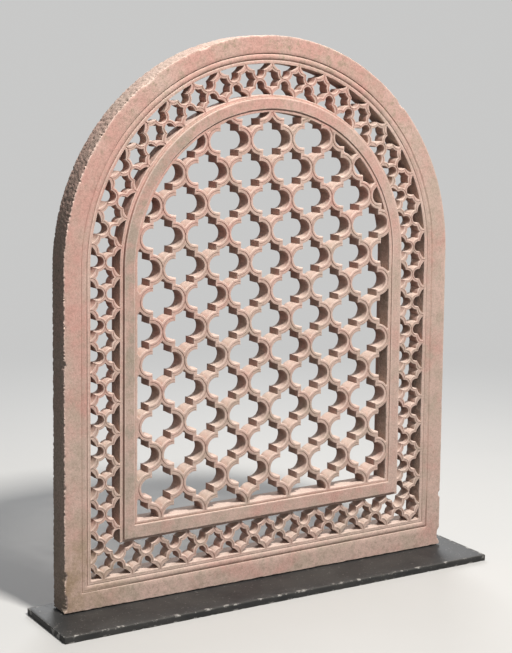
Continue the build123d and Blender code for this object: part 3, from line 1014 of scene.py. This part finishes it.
# Board under the stone
boardLook = {
    "corner": 1.6,
    "station": 9.0,  # spacing of its cross-sections
    "biteSize": (11, 60),  # of the chips, along the edges and across them
    "biteFrom": 0.12,
    "biteDepth": 3.2,
    "paint": (0.02, 0.021, 0.022), "scuff": (0.07, 0.066, 0.061), "chipped": (0.4, 0.385, 0.36),
}


def boardFinish():
    f = Finish("black_board_paint")
    place = f.place()
    stretched = f.add("Mapping", {}, {"Vector": place, "Scale": (0.9, 12, 12)})
    brush = f.cloud(stretched, 9, 5, 0.65)
    cloudy = f.cloud(place, 9, 4, 0.6)
    streaks = f.cloud(f.add("Mapping", {}, {"Vector": place, "Scale": (1, 4, 4)}), 26, 5, 0.75)
    f.colour = f.mix(f.ramp(cloudy, [(0.35, 0), (0.7, 0.5)]), boardLook["paint"], boardLook["scuff"])
    f.coat(f.ramp(streaks, [(0.58, 0), (0.7, 0.6)]), boardLook["scuff"])
    flecks = f.ramp(f.cloud(place, 150, 2, 0.6), [(0.66, 0), (0.7, 1)])
    # the rounded edges get a paler line, partly painted highlight and partly scuffed paint, and bare chips
    edge = f.value("worn")
    f.coat(edge * 0.5, boardLook["scuff"])
    bare = edge * f.ramp(f.cloud(place, 48, 4, 0.7), [(0.56, 0), (0.62, 1)]) + flecks * 0.3
    f.coat(bare.held(), boardLook["chipped"])
    return f.surface(Base_Color=f.colour, Roughness=0.42 + 0.3 * cloudy,
                     Normal=f.bump(brush + flecks * 0.4, 0.35, 0.0006))


def boardSection(half, corner):
    # the board's cross-section, y and z, with a mark of 1 on its four rounded edges
    quarter = [(math.cos(a), math.sin(a)) for a in np.linspace(0, math.pi / 2, 4)]
    section, marks = [], []
    for sy, sz in ((1, 1), (-1, 1), (-1, -1), (1, -1)):
        for c, s in quarter if sy == sz else quarter[::-1]:
            section.append((sy * (half.y - corner + corner * c), sz * (half.z - corner + corner * s)))
        if sy == sz:  # the top has more points than the underside
            flat = sy * np.linspace(half.y - 12, 12 - half.y, 24 if sz > 0 else 8)
            section += [(y, sz * half.z) for y in flat]
        else:
            flat = sz * np.linspace(half.z - 5, 5 - half.z, 3)
            section += [(sy * half.y, z) for z in flat]
        marks += [1.0] * len(quarter) + [0.0] * len(flat)
    return np.array(section), np.array(marks)


def makeBoard():
    look = boardLook
    low, high = nodeBox("base_board")
    middle, half = (low + high) / 2, (high - low) / 2
    section, edgeMark = boardSection(half, look["corner"])
    ends = np.array([0, 0.5, look["corner"]])
    length = 2 * half.x
    stations = np.concatenate([ends, np.arange(8, length - 8, look["station"]), length - ends[::-1]])
    shrinks = np.interp(np.minimum(stations, length - stations), ends, ends[::-1])
    along, across = look["biteSize"]
    thickness = np.array([half.y, half.z])
    vertices, worn = [], []
    for x, shrink in zip(stations, shrinks):
        ring = section * (1 - shrink / thickness)
        bite = [noise.noise(Vector((x / along, y / across, z / across))) for y, z in ring.tolist()]
        bite = np.maximum(0, np.array(bite) - look["biteFrom"]) * look["biteDepth"]
        ring = ring * (1 - (bite * edgeMark)[:, None] / thickness)
        vertices.append(np.column_stack([np.full(len(ring), x - half.x), ring]))
        worn.append(np.ones(len(ring)) if shrink else edgeMark)
    count, last = len(section), (len(stations) - 1) * len(section)
    turn = [(j, (j + 1) % count) for j in range(count)]
    faces = [(k + a, k + b, k + b + count, k + a + count) for k in range(0, last, count) for a, b in turn]
    faces += [tuple(range(count - 1, -1, -1)), tuple(range(last, last + count))]
    vertices = np.vstack(vertices) + np.array(middle)
    board = makePiece("painted_board", vertices, faces, {"worn": np.concatenate(worn)}, 40, boardFinish())
    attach(board, "root")
    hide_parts("base_board")


makeBoard()
print("board made")


# Pads and dowels keep their shape and get their own finishes
smallParts = {
    "rubber_pad": {
        "nodes": ["setting_pads"], "metal": 0,
        "tone": (80, 3, (0.018, 0.018, 0.018), (0.035, 0.034, 0.032)),  # scale, detail and two colours
        "rough": (40, 0.7, 0.2),  # scale, lowest and how much more
        "bump": (900, 0.3, 0.0003),
    },
    "dull_brass": {
        "nodes": ["base_dowels", "foot_dowels", "springer_dowels", "crown_dowels"], "metal": 1,
        "tone": (120, 4, (0.36, 0.22, 0.07), (0.55, 0.38, 0.14)),
        "rough": (60, 0.35, 0.25),
        "bump": (500, 0.2, 0.0002),
    },
}


def smallFinish(name, look):
    f = Finish(name)
    place = f.place()
    scale, detail, dark, light = look["tone"]
    tone = f.ramp(f.cloud(place, scale, detail), [(0.3, dark), (0.7, light)])
    scale, smooth, more = look["rough"]
    rough = smooth + more * f.cloud(place, scale)
    scale, *strength = look["bump"]
    relief = f.bump(f.cloud(place, scale), *strength)
    return f.surface(Base_Color=tone, Metallic=look["metal"], Roughness=rough, Normal=relief)


for name, look in smallParts.items():
    finish = smallFinish(name, look)
    for node in look["nodes"]:
        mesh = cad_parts[node].data
        mesh.materials.clear()
        mesh.materials.append(finish)


# Floor, light and camera
studio = {
    "size": 40, "floor": (0.58, 0.58, 0.57),
    "bounce": (0.20, 0.20, 0.195),  # what the floor sends back up
    "backdrop": (0.58, 0.58, 0.575),
    "blend": (1.0, 3.8),  # distances over which the floor turns into the backdrop
    "ambient": (0.8, 0.82, 0.85), "ambientLevel": 0.2,
    "key": {"from": (0.3, -3.5, 5.9), "size": 0.8, "watts": 575, "colour": (1.0, 0.965, 0.92)},
    "fill": {"from": (-3.5, -5.0, 1.8), "size": 2.5, "watts": 22, "colour": (0.93, 0.96, 1.0)},
    "rear": {"from": (2.6, 4.8, 3.4), "size": 2.5, "watts": 200, "colour": (0.97, 0.98, 1.0)},
    "aim": (0, 0.05, 0.75),
}


def makeFloor():
    corners = [(x * studio["size"], y * studio["size"], 0) for x, y in ((-1, -1), (1, -1), (1, 1), (-1, 1))]
    mesh = bpy.data.meshes.new("floor")
    mesh.from_pydata(corners, [], [(0, 1, 2, 3)])
    f = Finish("pale_floor")
    place = f.place()
    tone = f.mix(f.cloud(place, 3), studio["floor"], tuple(0.97 * c for c in studio["floor"]))
    f.surface(Base_Color=tone, Roughness=0.9, Specular_IOR_Level=0.2)
    pale = Wire(f, f.shader.outputs[0])
    dark = f.add("BsdfDiffuse", {}, {"Color": (*studio["bounce"], 1)})
    plain = f.add("Emission", {}, {"Color": (*studio["backdrop"], 1), "Strength": 1.0})
    near, far = studio["blend"]
    away = f.add("VectorMath", {"operation": "LENGTH"}, {0: place}, output=1)
    distant = f.add("MapRange", {"interpolation_type": "SMOOTHSTEP"}, {0: away, 1: near, 2: far})
    seen = f.add("LightPath", output="Is Camera Ray")
    f.cover(seen, dark, f.cover(distant, pale, plain))
    mesh.materials.append(f.block)
    floor = linked("floor", mesh)
    floor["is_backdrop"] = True


def makeWorld():
    f = Finish("studio", "worlds", "Background", "World Output")
    sky = (*studio["ambient"], 1)
    seen = f.add("LightPath", output="Is Camera Ray")
    mirrored = f.add("LightPath", output="Is Glossy Ray")
    ambient = f.add("Background", {}, {"Color": sky, "Strength": studio["ambientLevel"]})
    backdrop = f.add("Background", {}, {"Color": (*studio["backdrop"], 1), "Strength": 1.0})
    f.cover(seen.math("MAXIMUM", seen, mirrored), ambient, backdrop)
    bpy.context.scene.world = f.block


def makeLamp(name):
    look = studio[name]
    lamp = bpy.data.lights.new(name, "AREA")
    lamp.size, lamp.energy, lamp.color = look["size"], look["watts"], look["colour"]
    holder = linked(name, lamp)
    holder.location = look["from"]
    holder.rotation_mode = "QUATERNION"
    holder.rotation_quaternion = (Vector(studio["aim"]) - Vector(look["from"])).to_track_quat("-Z", "Y")


def makeCamera():
    view = {"from": (-2.051, -3.301, 1.343), "yaw": 0.54378, "pitch": 0.10405, "roll": 0.010165,
            "lens": 80.59, "shift": -0.1241}
    turn = Matrix.Rotation(-view["yaw"], 4, "Z") @ Matrix.Rotation(math.pi / 2 - view["pitch"], 4, "X")
    camera = bpy.data.cameras.new("camera")
    camera.lens, camera.sensor_width, camera.shift_y = view["lens"], 36, view["shift"]
    holder = linked("camera", camera)
    holder.matrix_world = Matrix.Translation(view["from"]) @ turn @ Matrix.Rotation(view["roll"], 4, "Z")
    bpy.context.scene.camera = holder


makeFloor()
makeWorld()
for lamp in ("key", "fill", "rear"):
    makeLamp(lamp)
makeCamera()
bpy.context.scene.view_settings.view_transform = "Standard"

low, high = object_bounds()
{"cad": [list(cadLow), list(cadHigh)], "visual": [list(low), list(high)]}
print("scene ready")
